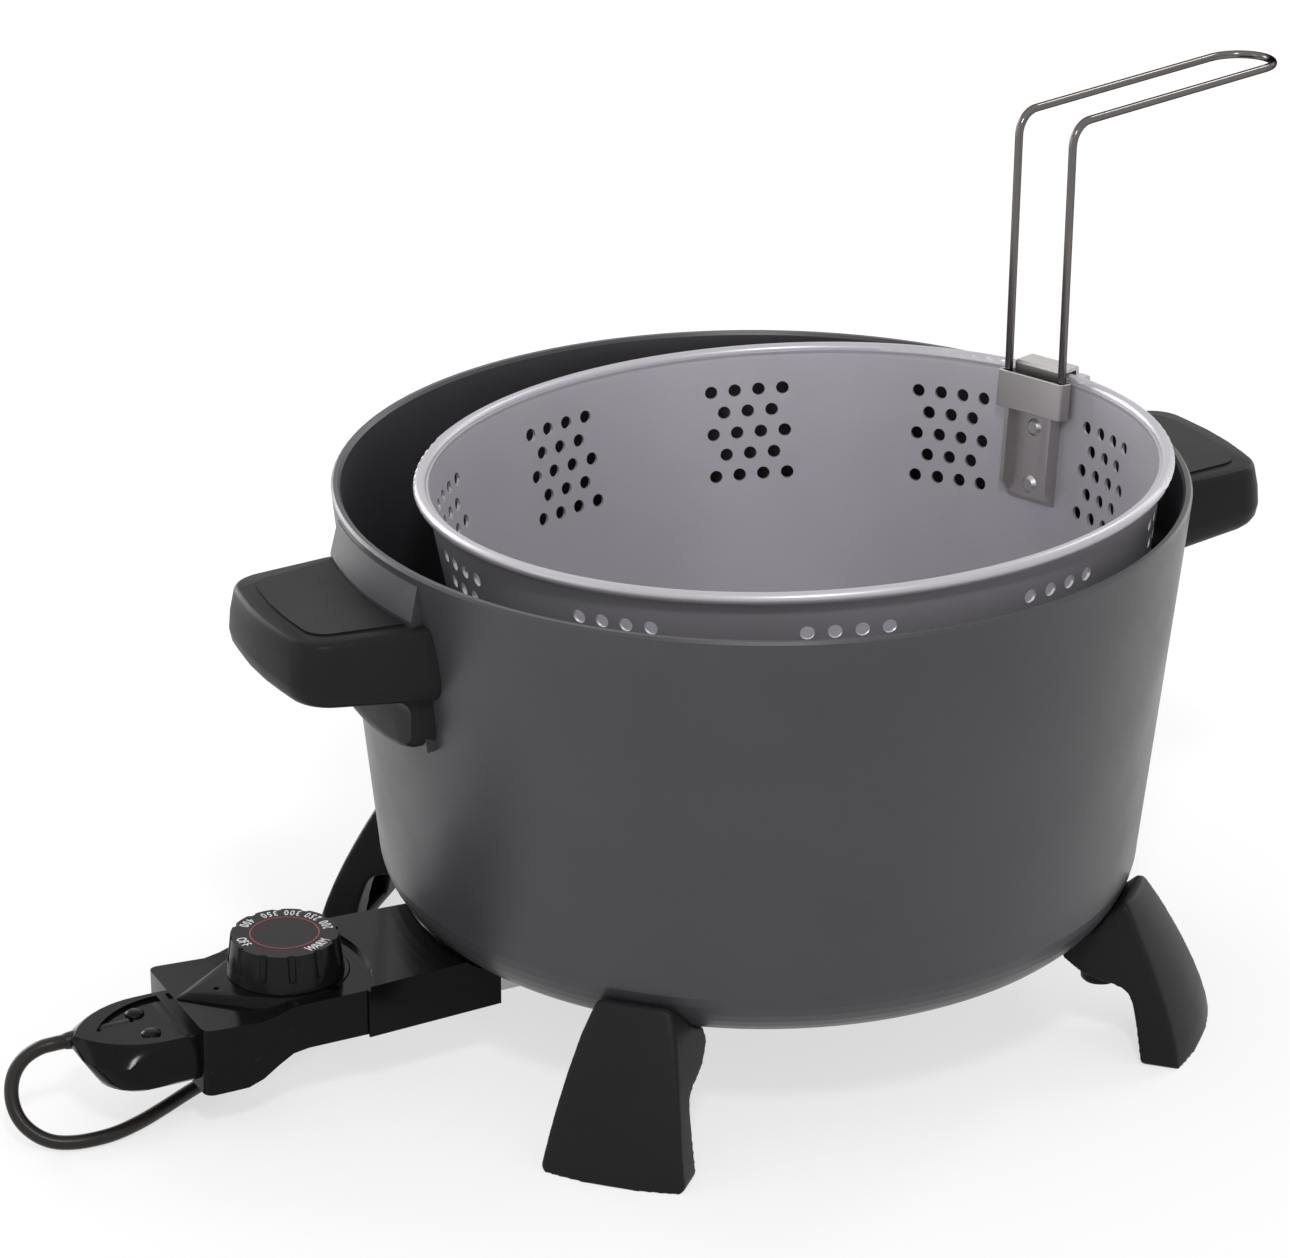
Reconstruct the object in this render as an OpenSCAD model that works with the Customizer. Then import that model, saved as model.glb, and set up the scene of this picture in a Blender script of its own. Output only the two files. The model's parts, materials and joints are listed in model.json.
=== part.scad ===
// Electric deep fryer with a plug-in heat control and a draining fry basket.
// +Z is up, the floor is z = 0 and the origin is on the floor under the pot's axis.
// The heat control plugs in from -X and the two side handles lie on the X axis.

/* [Pot] */
// Outside diameter of the rim
rim_d = 264; // [250:1:280]
// Outside diameter where the wall meets the bottom corner
base_d = 240; // [228:1:246]
// Height of the rim above the floor
rim_z = 172; // [165:1:185]
// Height of the pot's underside above the floor
underside_z = 35; // [33:1:38]
// Outside radius of the bottom corner
corner_r = 20; // [16:1:22]
// Width of the flat rim
rim_w = 2.8; // [2.4:0.1:4]
// Wall thickness at the bottom corner
wall_t = 3.4; // [3:0.1:4.5]
// Floor thickness
floor_t = 4.5; // [4:0.1:6]

/* [Side handles] */
// Reach of the handle's top edge beyond the rim
handle_out = 35.5; // [30:0.5:40]
// Depth of the handle's top face below the rim
handle_drop = 15.5; // [12:0.5:20]
// Width of the handle's top at the pot
handle_root_w = 66; // [60:1:76]
// Width of the handle's top at its outer corners
handle_end_w = 61; // [54:1:66]
// Height of the handle's skirt at the pot
skirt_h = 23; // [18:0.5:26]
// How far the skirt's lower edge rises towards its outer end, in degrees
skirt_rise = 4.7; // [0:0.1:8]
// Height of the handle from its top face to the back plate's lower end
plate_h = 44.5; // [40:0.5:50]
// How far the cast pads stand out from the pot's wall
pad_t = 3.3; // [2.5:0.1:4.5]

/* [Feet] */
// Reach of a foot's outer edge at the floor beyond the pot's base
foot_out = 26; // [20:0.5:32]
// Width of a foot at the floor
foot_w = 45; // [36:1:50]
// Width of a foot at its top
foot_top_w = 25; // [20:1:28]
// Height of a foot's top above the pot's underside
foot_rise = 14; // [11:1:19]

/* [Basket] */
// Clearance between the rolled rim and the outside of the pot's rim, if both had one axis
basket_clear = 15; // [14:0.5:19]
// Thickness of the rolled rim
bead_d = 4; // [3:0.2:5]
// Depth of the basket
basket_h = 104; // [90:1:110]
// Clearance between the basket's bottom and the outside of the pot's base, if both had one axis
basket_low_clear = 22; // [20:0.5:30]
// Sheet thickness
sheet_t = 1; // [0.8:0.1:1.4]
// Diameter of the drain holes
hole_d = 4.2; // [3.4:0.1:5]
// Distance between the holes of a row
hole_pitch = 8; // [6:0.1:9]
// Distance between the rows of holes
row_pitch = 7; // [6:0.1:9]
// Number of hole groups round the wall
group_n = 10; // [8:1:12]
// Tilt of the hung basket
basket_tilt = 3.2; // [0:0.1:3.4]

/* [Bracket and wire handle] */
// Width of the handle socket
socket_w = 28.4; // [27.6:0.2:34]
// Height of the handle socket
socket_h = 12; // [10:0.5:16]
// Width of the strip that makes the flanges and the hook
strip_w = 20; // [16:1:24]
// Thickness of that strip
strip_t = 1.4; // [1.2:0.1:1.5]
// Diameter of the handle wire
wire_d = 2.6; // [2.2:0.1:3]
// Distance between the two legs of the wire handle
wire_gap = 23.2; // [23.2:0.1:23.6]
// Height of the wire handle's arms above the basket's rim
wire_rise = 85.5; // [70:0.5:100]
// Reach of the wire handle's arms, without the round end
wire_reach = 99.5; // [80:0.5:110]
// Bend radius of the wire between leg and arm
wire_bend_r = 8; // [6:0.5:12]

/* [Heat control] */
// Distance from the pot's axis to the shroud's open end
shroud_in_x = 100; // [99:0.5:102]
// Distance from the pot's axis to the housing's inner end
body_in_x = 141; // [140:0.5:143]
// Distance from the pot's axis to the housing's outer end
body_out_x = 198; // [196:0.5:200]
// Distance from the pot's axis to the cord cover's tip
tail_out_x = 231.5; // [228:0.5:238]
// Width of the housing
body_w = 47; // [45:0.5:50]
// Width of the shroud
shroud_w = 49; // [47:0.5:52]
// Width of the cord cover
tail_w = 37; // [34:0.5:38]
// Height of the housing's top face at the pot end
body_top_z = 38; // [37.4:0.1:39]
// Height of the housing's top face at the cord end
body_end_z = 36.2; // [35.6:0.1:37]
// Height of the shroud's top face
shroud_top_z = 39.4; // [39:0.1:41]
// Height of the cord cover's top face
tail_top_z = 31.6; // [31:0.1:33]
// Height of the underside at the deep end of the housing
deep_z = 14.2; // [13:0.2:17]
// Height of the underside at the pot end of the housing
shallow_z = 23; // [22:0.2:23.4]
// Wall thickness of the control's mouldings
shell_t = 1.8; // [1.5:0.1:2.2]
// Distance from the pot's axis to the knob's axis
knob_x = 162; // [160:0.5:164]
// Knob diameter at its top
knob_d = 33; // [30:0.2:35]
// Knob height
knob_h = 12; // [10:0.5:14]
// Number of flutes round the knob
flute_n = 12; // [8:1:20]

/* [Probe and terminals] */
// Height of the probe and the terminal pins
probe_z = 29.6; // [29.4:0.1:29.8]
// Probe diameter
probe_d = 6.2; // [5.4:0.1:6.4]
// Terminal pin diameter
pin_d = 4.6; // [4:0.1:4.8]
// Distance between the two terminal pins
pin_gap = 26; // [24:0.5:27]
// Heating tube diameter
element_d = 7.6; // [6:0.1:8]
// Radius of the heating ring
element_r = 72; // [66:1:78]

/* [Cord and plug] */
// Cord diameter
cord_d = 4.4; // [4:0.1:5]
// Middle diameter of the cord coil
coil_d = 48; // [44:1:52]
// Turns that lie side by side in the coil
coil_rows = 2; // [1:1:3]
// Layers of turns in the coil
coil_layers = 2; // [1:1:3]

/* [Hidden] */
$fn = 64;

// Clearances
run_fit = 0.05;      // running fit, on the radius
seat_gap = 0.15;     // between curved faces that seat on each other
free_gap = 0.3;      // between parts that move past each other
eps = 0.01;

coating = [0.19, 0.19, 0.21];
moulded = [0.13, 0.125, 0.13];
gloss_black = [0.05, 0.05, 0.055];
sheet_grey = [0.62, 0.62, 0.66];
steel = [0.72, 0.71, 0.70];
chrome = [0.78, 0.78, 0.80];
brass = [0.80, 0.65, 0.35];
lead_black = [0.11, 0.09, 0.085];

// ---- Derived sizes ----
rim_r = rim_d/2;
base_r = base_d/2;
corner_z = underside_z + corner_r;          // height where the straight wall starts
floor_z = underside_z + floor_t;            // the pot's inside floor
inner_corner_r = corner_r - wall_t;
inner_base_r = base_r - wall_t;
wall_slope = (rim_r - base_r)/(rim_z - corner_z);
foot_angles = [45, 135, 225, 315];
handle_reach = rim_r + handle_out;
handle_top_z = rim_z - handle_drop;
slab_low_z = handle_top_z - skirt_h;        // lower edge of the handle's skirt
plate_low_z = handle_top_z - plate_h;
foot_reach = base_r + foot_out;
foot_top_z = underside_z + foot_rise;
basket_d = rim_d - 2*basket_clear;
basket_base_d = base_d - 2*basket_low_clear;

// Points of an arc, from angle a to angle b, in n steps
function arc(cx, cy, r, a, b, n = 8) =
    [for (i = [0:n]) [cx + r*cos(a + (b - a)*i/n), cy + r*sin(a + (b - a)*i/n)]];
// Outside radius of the pot's wall at a height
function pot_r(z) = z > corner_z ? base_r + wall_slope*(z - corner_z)
    : base_r - corner_r + sqrt(max(0, corner_r*corner_r - pow(corner_z - z, 2)));
// Height of the pot's outside surface in its bottom corner, at a radius
function pot_skin_z(r) = corner_z - sqrt(max(0, corner_r*corner_r - pow(max(0, r - base_r + corner_r), 2)));
// Mirrors the points of a half outline, so that it closes on itself
function both_sides(half) = concat(half, [for (i = [len(half) - 1:-1:0]) [half[i][0], -half[i][1]]]);

// ---- Pot ----
module pot_outside(grow = 0) {
    rotate_extrude($fn = 120) polygon(concat(
        [[0, underside_z - grow]],
        arc(base_r - corner_r, corner_z, corner_r + grow, -90, 0, 10),
        [[rim_r + grow, rim_z - 0.8], [rim_r - 0.7 + grow, rim_z + grow], [0, rim_z + grow]]));
}

module pot_inside() {
    rotate_extrude($fn = 120) polygon(concat(
        [[0, floor_z]],
        arc(inner_base_r - inner_corner_r, floor_z + inner_corner_r, inner_corner_r, -90, 0, 8),
        [[rim_r - rim_w, rim_z - 1], [rim_r - rim_w + 0.7, rim_z], [rim_r - rim_w + 0.7, rim_z + 5],
         [0, rim_z + 5]]));
}

// Cast pads that the handles sit on: they stand out from the wall and run out under the rim
pad_half = 12.9;                  // half angle of a pad
pad_low_z = plate_low_z + 3;
pad_shoulder_z = handle_top_z + 2;
function pad_r(z) = pot_r(z) + pad_t + 0.6*(z - pad_low_z)/(pad_shoulder_z - pad_low_z);
module cast_pads(grow = 0) {
    inner_r = pot_r(pad_low_z) - 2;
    for (side = [0, 180])
        rotate([0, 0, side - pad_half - grow/2])
            rotate_extrude(angle = 2*pad_half + grow, $fn = 120)
                polygon([[inner_r, pad_low_z], [pad_r(pad_low_z) + grow, pad_low_z],
                    [pad_r(pad_shoulder_z) + grow, pad_shoulder_z],
                    [rim_r + grow, rim_z - 3], [inner_r, rim_z - 3]]);
}

lug_r = 5.5;                      // cast lug that a foot's screw goes into
lug_x = base_r - 7.5;
lug_low_z = underside_z - 6;
screw_r = 1.9;
screw_head_r = 3.6;
screw_head_h = 2.2;
lug_bore_top = pot_skin_z(lug_x) + 2.2;
module foot_lugs() {
    for (a = foot_angles)
        rotate([0, 0, a])
            translate([lug_x, 0, lug_low_z])
                cylinder(r = lug_r, h = pot_skin_z(lug_x) + 3 - lug_low_z);
}

handle_screw_z = plate_low_z + 14;
handle_bore_depth = 5;            // depth of the pad's bore
module pot() {
    color(coating) difference() {
        union() {
            pot_outside();
            cast_pads();
            foot_lugs();
        }
        pot_inside();
        for (a = foot_angles)
            rotate([0, 0, a])
                translate([lug_x, 0, lug_low_z - 1])
                    cylinder(r = screw_r, h = lug_bore_top - lug_low_z + 1);
        for (side = [1, -1])
            translate([side*(pad_r(handle_screw_z) - handle_bore_depth), 0, handle_screw_z])
                rotate([0, side*90, 0])
                    cylinder(r = screw_r, h = handle_bore_depth + 3);
    }
}

// ---- Heating element, probe socket and terminals ----
socket_x = [66, 90];              // the socket block's inner and outer ends, on the -X side
block_w = pin_gap + 12;
element_z = underside_z - element_d/2 - seat_gap;
element_open = asin((block_w/2 + 1)/element_r);   // half angle of the ring's open stretch
module heating_element() {
    color(steel) rotate([0, 0, 180 + element_open])
        rotate_extrude(angle = 360 - 2*element_open, $fn = 96)
            translate([element_r, 0])
                translate([0, element_z]) circle(d = element_d, $fn = 20);
}

well_end_x = socket_x[0] + 4;     // where the probe's bore ends
pin_root = 12;                    // depth of the pins' bores in the block
module probe_socket() {
    color(coating) difference() {
        translate([-socket_x[1], -block_w/2, probe_z - 5])
            cube([socket_x[1] - socket_x[0], block_w, underside_z - probe_z + 5]);
        translate([-socket_x[1] - 1, 0, probe_z]) rotate([0, 90, 0])
            cylinder(d = probe_d + 2*run_fit, h = socket_x[1] + 1 - well_end_x);
        for (side = [1, -1])
            translate([-socket_x[1] - 1, side*pin_gap/2, probe_z]) rotate([0, 90, 0])
                cylinder(d = pin_d, h = pin_root + 1);
    }
}

pin_out_x = socket_x[1] + 30;
module terminal_pins() {
    color(steel) for (side = [1, -1])
        translate([-pin_out_x, side*pin_gap/2, probe_z]) rotate([0, 90, 0]) {
            cylinder(d = pin_d, h = pin_out_x - socket_x[1] + pin_root - 1);
            translate([0, 0, -1.2]) cylinder(d1 = pin_d - 1.6, d2 = pin_d, h = 1.2);
        }
}

guard_t = 0.8;
guard_w = pin_gap + 11.2;
guard_h = 9.4;
guard_out_x = pin_out_x - 4;
module terminal_guard() {
    color(steel) difference() {
        translate([-guard_out_x, -guard_w/2, probe_z - guard_h/2])
            cube([guard_out_x - socket_x[1], guard_w, guard_h]);
        translate([-guard_out_x - 1, -guard_w/2 + guard_t, probe_z - guard_h/2 + guard_t])
            cube([guard_out_x - socket_x[1] + 2, guard_w - 2*guard_t, guard_h - 2*guard_t]);
    }
}

// ---- Feet ----
foot_t = 14.5;                    // depth of a foot at the floor, from its outer face inwards
foot_bow_r = 90;                  // the outer face is bowed, with this radius at the floor
foot_lean = 22;                   // how far the outer face leans in towards its top
boss_r = 6;
boss_low_z = underside_z - 18.6;
boss_sink = 3.2;                  // depth of the recess for the screw's head
// Outer face of a foot, from the floor up: a shallow curve
function foot_face(f) = [foot_reach - foot_lean*pow(f, 1.4) - 0.4*f, foot_top_z*f];
module foot_side() {
    root = lug_x - 8.5;           // inner end of the foot, under the pot's corner
    linear_extrude(foot_w + 2, center = true)
        polygon([[foot_reach - foot_t, 0], [foot_reach, 0], [foot_reach, foot_top_z],
            [foot_reach - foot_lean - 2.8, foot_top_z], [foot_reach - foot_lean - 6.5, foot_top_z - 4],
            [root, underside_z + 5], [root, underside_z - 4.5], [lug_x - 2.3, underside_z - 8.5],
            [foot_reach - 29, underside_z - 10.5], [foot_reach - 22.5, underside_z - 11.5],
            [foot_reach - 20, underside_z - 13.5], [foot_reach - 18.6, underside_z - 16.6],
            [foot_reach - 17.2, underside_z - 21.6]]);
}
module foot_bow() {
    // the outer face, revolved about an axis of its own
    steps = 8;
    bow_x = foot_reach - foot_bow_r;
    translate([bow_x, 0, 0]) rotate([0, 0, -30]) rotate_extrude(angle = 60, $fn = 180)
        polygon(concat([[10, 0]], [for (i = [0:steps]) foot_face(i/steps) - [bow_x, 0]], [[10, foot_top_z]]));
}
module foot_front() {
    // outline seen along the foot's own outward direction
    low = foot_w/2;
    top = foot_top_w/2;
    half = concat([[0, low - 1.2], [1.2, low]],
        [for (f = [0.2:0.2:0.8]) [foot_top_z*f, low + (top - low)*f + 0.8*sin(180*f)]],
        arc(foot_top_z - 3, top - 3, 3, 75, 0, 4));
    translate([lug_x - 12, 0, 0]) rotate([0, 0, 90]) rotate([90, 0, 0])
        linear_extrude(foot_reach - lug_x + 20) rotate([0, 0, 90]) polygon(both_sides(half));
}
module foot_hollow() {
    // the moulding is a shell, open towards the pot's axis
    inset = 3;
    steps = 6;
    face = [for (i = [0:steps]) foot_face(i/steps) - [inset + 1, 0]];
    linear_extrude(foot_top_w - 2*inset, center = true)
        polygon(concat([[lug_x - 10, 4]], [[foot_reach - inset - 1, 4]],
            [for (p = face) if (p[1] > 5 && p[1] < foot_top_z - 3) p], [[lug_x - 10, foot_top_z - 4]]));
}
module foot() {
    color(moulded) difference() {
        union() {
            difference() {
                intersection() {
                    rotate([90, 0, 0]) foot_side();
                    foot_bow();
                    foot_front();
                }
                rotate([90, 0, 0]) foot_hollow();
            }
            // screw boss
            translate([lug_x, 0, boss_low_z]) cylinder(r = boss_r, h = 26);
            translate([lug_x, -3, boss_low_z + 4]) cube([foot_reach - 20 - lug_x, 6, 18]);
        }
        // clear of the pot's skin and of its lug
        pot_outside(seat_gap);
        translate([lug_x, 0, lug_low_z - seat_gap]) cylinder(r = lug_r + seat_gap, h = 40);
        translate([lug_x, 0, 0]) cylinder(r = screw_r + 0.2, h = 60);
        translate([lug_x, 0, boss_low_z - 1]) cylinder(r = screw_head_r + 0.6, h = boss_sink + 1);
    }
}
module foot_1() { rotate([0, 0, foot_angles[0]]) foot(); }
module foot_2() { rotate([0, 0, foot_angles[1]]) foot(); }
module foot_3() { rotate([0, 0, foot_angles[2]]) foot(); }
module foot_4() { rotate([0, 0, foot_angles[3]]) foot(); }

module pan_screw(length, head_r = screw_head_r) {
    // head at the origin, shank along +Z
    difference() {
        union() {
            cylinder(r = head_r, h = screw_head_h);
            cylinder(r = screw_r, h = length);
        }
        for (a = [0, 90]) rotate([0, 0, a]) translate([-0.5, -2.2, -1]) cube([1, 4.4, 1.9]);
    }
}
module foot_screws() {
    head_z = boss_low_z + boss_sink - screw_head_h;
    color(steel) for (a = foot_angles)
        rotate([0, 0, a]) translate([lug_x, 0, head_z]) pan_screw(lug_bore_top - 0.5 - head_z);
}

// ---- Side handles ----
handle_corner_r = 11;
handle_bow_r = 110;               // the outer face is a shallow arc
handle_root_x = rim_r - 16;       // inner end of the handle's solids, inside the pot's wall
// Top view of the handle, drawn in by the inset
module handle_plan(inset = 0, root_x = handle_root_x) {
    r = handle_corner_r - 0.6*inset;
    corner_y = handle_end_w/2 - inset - r;
    bow = pow(corner_y, 2)/(2*handle_bow_r);
    root_y = handle_root_w/2 - inset;
    polygon(both_sides(concat([[root_x, root_y]], root_x < rim_r ? [[rim_r, root_y]] : [],
        arc(handle_reach - bow - inset - r, corner_y, r, 86, 10, 7),
        [for (y = [corner_y*0.8, corner_y*0.3]) [handle_reach - inset - y*y/(2*handle_bow_r), y]])));
}
// Outline of the skirt: height from the top face, and how far it is drawn in; it bulges in the middle
skirt_layers = [[-skirt_h, 2], [-skirt_h + 0.5, 0.9], [-skirt_h + 1.6, -0.3], [-skirt_h + 3.6, -1.4],
    [-skirt_h*0.68, -2], [-skirt_h*0.38, -1.5], [-1.7, -0.3], [-0.6, 0.3], [0, 1.2]];
module handle_slab() {
    hull() for (layer = skirt_layers)
        translate([rim_r, 0, handle_top_z + layer[0] - eps]) rotate([0, skirt_rise*layer[0]/skirt_h, 0])
            translate([-rim_r, 0, 0]) linear_extrude(eps) handle_plan(layer[1]);
}
panel_inset = 6.2;                // raised panel on the top face
panel_h = 0.6;
skirt_t = 5;                      // thickness of the skirt round the finger hollow
roof_t = 5.5;                     // thickness of the slab over the finger hollow
plate_t = 3.8;                    // thickness of the back plate over the pad
plate_face_x = pad_r(handle_screw_z) + plate_t;
hollow_root_x = plate_face_x + 3.5;
plate_half_w = handle_root_w/2 - 3.5;
plate_bow_r = 80;                 // the back plate's lower edge is a shallow arc
plate_corner_r = 6;
// Rounding of the back plate's lower edge: distance from its face, and how far the outline is drawn in
plate_layers = [[-24, 0], [-5.5, 0], [-3.6, 0.6], [-2, 2], [-0.8, 4], [0.1, 7]];
// Front view of the back plate: straight sides, rounded lower corners, a bowed lower edge
module plate_front(inset) {
    w = plate_half_w - 0.3*inset;
    r = plate_bow_r - inset;
    turn = asin((w - plate_corner_r)/(r - plate_corner_r));
    corner_y = w - plate_corner_r;
    corner_z = plate_low_z + plate_bow_r - (r - plate_corner_r)*cos(turn);
    polygon(concat(arc(0, plate_low_z + plate_bow_r, r, -90 - 0.75*turn, -90 + 0.75*turn, 5),
        arc(corner_y, corner_z, plate_corner_r, -90 + turn, 0, 4),
        [[w, handle_top_z - 5], [-w, handle_top_z - 5]],
        arc(-corner_y, corner_z, plate_corner_r, -180, -90 - turn, 4)));
}
module handle_plate() {
    neck_r = 5.5;
    neck_z = slab_low_z - neck_r + 0.3;
    intersection() {
        // side view, revolved about the pot's axis: a concave curve from the slab into the plate's face
        rotate([0, 0, -16]) rotate_extrude(angle = 32, $fn = 120)
            polygon(concat([[handle_root_x, handle_top_z - 5], [plate_face_x + neck_r, handle_top_z - 5]],
                arc(plate_face_x + neck_r, neck_z, neck_r, 90, 180, 5),
                [[plate_face_x, plate_low_z - 1], [handle_root_x, plate_low_z - 1]]));
        union() {
            hull() for (layer = plate_layers)
                translate([plate_face_x + layer[0], 0, 0]) rotate([90, 0, 90])
                    linear_extrude(eps) plate_front(layer[1]);
            translate([handle_root_x, -plate_half_w + 0.3, neck_z])
                cube([40, 2*plate_half_w - 0.6, handle_top_z - 5 - neck_z]);
        }
    }
}
handle_seat_x = plate_face_x - 1; // the screw's head sits in a shallow recess of the back plate
module handle() {
    color(moulded) difference() {
        union() {
            handle_slab();
            translate([0, 0, handle_top_z - eps]) linear_extrude(panel_h + eps) handle_plan(panel_inset);
            handle_plate();
        }
        // finger hollow, open below
        translate([0, 0, slab_low_z - 8])
            linear_extrude(skirt_h + 8 - roof_t) handle_plan(skirt_t, hollow_root_x);
        pot_outside(seat_gap);
        cast_pads(seat_gap);
        translate([rim_r - 8, 0, handle_screw_z]) rotate([0, 90, 0]) cylinder(r = screw_r + 0.2, h = 20);
        translate([handle_seat_x, 0, handle_screw_z]) rotate([0, 90, 0])
            cylinder(r = screw_head_r + 0.8, h = 10);
    }
}
module handle_right() { handle(); }
module handle_left() { mirror([1, 0, 0]) handle(); }
module handle_screws() {
    grip = handle_seat_x + seat_gap - pad_r(handle_screw_z) + handle_bore_depth - 0.5;
    color(steel) for (side = [0, 180])
        rotate([0, 0, side]) translate([handle_seat_x + seat_gap + screw_head_h, 0, handle_screw_z])
            rotate([0, -90, 0]) pan_screw(screw_head_h + grip);
}

// ---- Basket, hung on the pot's rim ----
basket_shift = basket_clear - 4.54;         // the hung basket lies off the pot's axis by this
shift_toward = -6;
basket_at = [basket_shift*cos(shift_toward), basket_shift*sin(shift_toward), rim_z + 1.5];
tilt_toward = -61;                          // the side of the rim that lies highest
bracket_angle = 16;                         // where the bracket sits round the rim
bead_r = bead_d/2;
bead_mid_r = basket_d/2 - bead_r;
basket_top_r = basket_d/2 - bead_d + 0.5;   // outside of the sheet under the rolled rim
basket_slope = (basket_top_r - basket_base_d/2)/basket_h;
basket_corner_r = 9;
module hung() {
    translate(basket_at)
        rotate(a = basket_tilt, v = [sin(tilt_toward), -cos(tilt_toward), 0])
            children();
}
function basket_r(z) = basket_top_r + basket_slope*z;      // z is negative, below the rim
wall_lean = atan(basket_slope);
module basket_sheet(inset) {
    // the corner's arc runs smoothly into the leaning wall
    corner_z = -basket_h + basket_corner_r;
    corner_x = basket_r(corner_z - basket_corner_r*sin(wall_lean)) - basket_corner_r*cos(wall_lean);
    rotate_extrude($fn = 120) polygon(concat(
        [[0, -basket_h + inset]],
        arc(corner_x, corner_z, basket_corner_r - inset, -90, -wall_lean, 6),
        [[basket_r(-1) - inset, -1], [basket_r(-1) - inset, inset > 0 ? bead_d + 1 : 0],
         [0, inset > 0 ? bead_d + 1 : 0]]));
}
group_rows = [4, 3, 4, 3, 4];
first_row_z = -12;
module wall_holes() {
    for (g = [0:group_n - 1], row = [0:len(group_rows) - 1]) {
        z = first_row_z - row*row_pitch;
        n = group_rows[row];
        step = hole_pitch/basket_r(z)*180/PI;
        for (i = [0:n - 1])
            rotate([0, 0, bracket_angle + (g + 0.5)*360/group_n + (i - (n - 1)/2)*step])
                translate([basket_r(z) - 6, 0, z]) rotate([0, 90, 0])
                    cylinder(d = hole_d, h = 12, $fn = 16);
    }
}
bottom_rings = 4;
module bottom_holes() {
    ring_step = 18;
    for (k = [0:bottom_rings], i = [0:max(0, 6*k - 1)])
        rotate([0, 0, k == 0 ? 0 : i*60/k])
            translate([k*ring_step, 0, -basket_h - 2])
                cylinder(d = hole_d, h = 6, $fn = 16);
}
module basket() {
    color(sheet_grey) hung() difference() {
        union() {
            basket_sheet(0);
            rotate_extrude($fn = 120) translate([bead_mid_r, 0]) circle(r = bead_r, $fn = 24);
        }
        basket_sheet(sheet_t);
        wall_holes();
        bottom_holes();
    }
}

// Bracket frame: +X runs outwards through the bracket, z = 0 is the middle of the rolled rim
module at_bracket() {
    hung() rotate([0, 0, bracket_angle]) children();
}
strip_foot_z = -2;                // where the strip starts to lean with the wall
strip_back_r = basket_r(strip_foot_z) - sheet_t - pow(strip_w/2, 2)/(2*basket_r(0)) - seat_gap;
flange_h = 40;                    // length of the flanged part
flange_t = 5;                     // how far the flanges stand in from the wall
hook_top_z = bead_r + 0.4 + strip_t;
hook_step_r = basket_d/2 + 0.4;   // the hook steps down just outside the rolled rim
shift_along = basket_shift*cos(bracket_angle - shift_toward);
hook_rim_r = rim_r + 0.35;        // the hook's outer leg hangs just outside the pot's rim
hook_leg_r = sqrt(pow(shift_along, 2) - pow(basket_shift, 2) + pow(hook_rim_r, 2)) - shift_along;
hook_low_z = -9;                  // the hook's leg ends above the slope of the pot's cast pad
rim_seat_z = -2.1;                // underside of the hook, over the pot's rim
module bracket_profile() {
    // the strip seen from its edge: up the inside of the wall, over the rolled rim, over the pot's rim
    polygon([
        [strip_back_r - strip_t, strip_foot_z], [strip_back_r, strip_foot_z],
        [strip_back_r, hook_top_z - strip_t],
        [hook_step_r, hook_top_z - strip_t], [hook_step_r, rim_seat_z], [hook_leg_r, rim_seat_z],
        [hook_leg_r, hook_low_z], [hook_leg_r + strip_t, hook_low_z + 0.8],
        [hook_leg_r + strip_t, rim_seat_z + strip_t - 0.6], [hook_leg_r + strip_t - 0.6, rim_seat_z + strip_t],
        [hook_step_r + strip_t, rim_seat_z + strip_t], [hook_step_r + strip_t, hook_top_z - 0.6],
        [hook_step_r + strip_t - 0.6, hook_top_z], [strip_back_r - strip_t + 0.8, hook_top_z],
        [strip_back_r - strip_t, hook_top_z - 0.8]]);
}
module leaning() {
    // frame that leans with the basket's wall, about the top of the strip
    translate([strip_back_r, 0, strip_foot_z]) rotate([0, wall_lean, 0]) children();
}
rivet_r = 1.6;
rivet_z = [-15, -34];
socket_top_z = 2.2;               // top of the socket, along the leaning wall
socket_low_z = socket_top_z - socket_h;
socket_wall = 0.9;
module basket_bracket() {
    color(steel) at_bracket() difference() {
        union() {
            rotate([90, 0, 0]) linear_extrude(strip_w, center = true) bracket_profile();
            leaning() difference() {
                translate([-flange_t, -strip_w/2, -flange_h]) cube([flange_t, strip_w, flange_h]);
                translate([-flange_t - 1, -strip_w/2 + strip_t, -flange_h - 1])
                    cube([flange_t + 1 - strip_t, strip_w - 2*strip_t, flange_h + 2]);
                // the flanges' lower ends are cut at a slant
                translate([-flange_t - 1, 0, -flange_h - 2]) rotate([0, -38, 0])
                    cube([12, 2*strip_w, 10], center = true);
            }
        }
        leaning() for (z = rivet_z)
            translate([-flange_t - 4, 0, z]) rotate([0, 90, 0]) cylinder(r = rivet_r, h = 20);
    }
}
module bracket_rivets() {
    color(steel) at_bracket() leaning() for (z = rivet_z)
        translate([0, 0, z]) rotate([0, 90, 0]) {
            translate([0, 0, -strip_t]) cylinder(r = rivet_r, h = strip_t + 0.2);
            translate([0, 0, -strip_t - 1]) cylinder(r1 = 1.9, r2 = 3, h = 1);
        }
}
// Socket: a band round the channel, whose side pockets hold the wire's two ends
module handle_socket() {
    r = 1.8;
    front = -flange_t - seat_gap - socket_wall;
    back = -0.75 - pow(socket_w/2, 2)/(2*basket_top_r) + 0.3;
    w = socket_w/2;
    color(steel) at_bracket() leaning() translate([0, 0, socket_low_z]) difference() {
        linear_extrude(socket_h) polygon(concat(
            arc(front + r, -w + r, r, 270, 180, 4), arc(front + r, w - r, r, 180, 90, 4),
            [[back, w], [back, -w]]));
        translate([front + socket_wall, -w + socket_wall, 1])
            cube([10, 2*(w - socket_wall), socket_h]);
        translate([-flange_t - seat_gap, -strip_w/2 - seat_gap, -1])
            cube([10, strip_w + 2*seat_gap, socket_h + 2]);
    }
}

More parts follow.
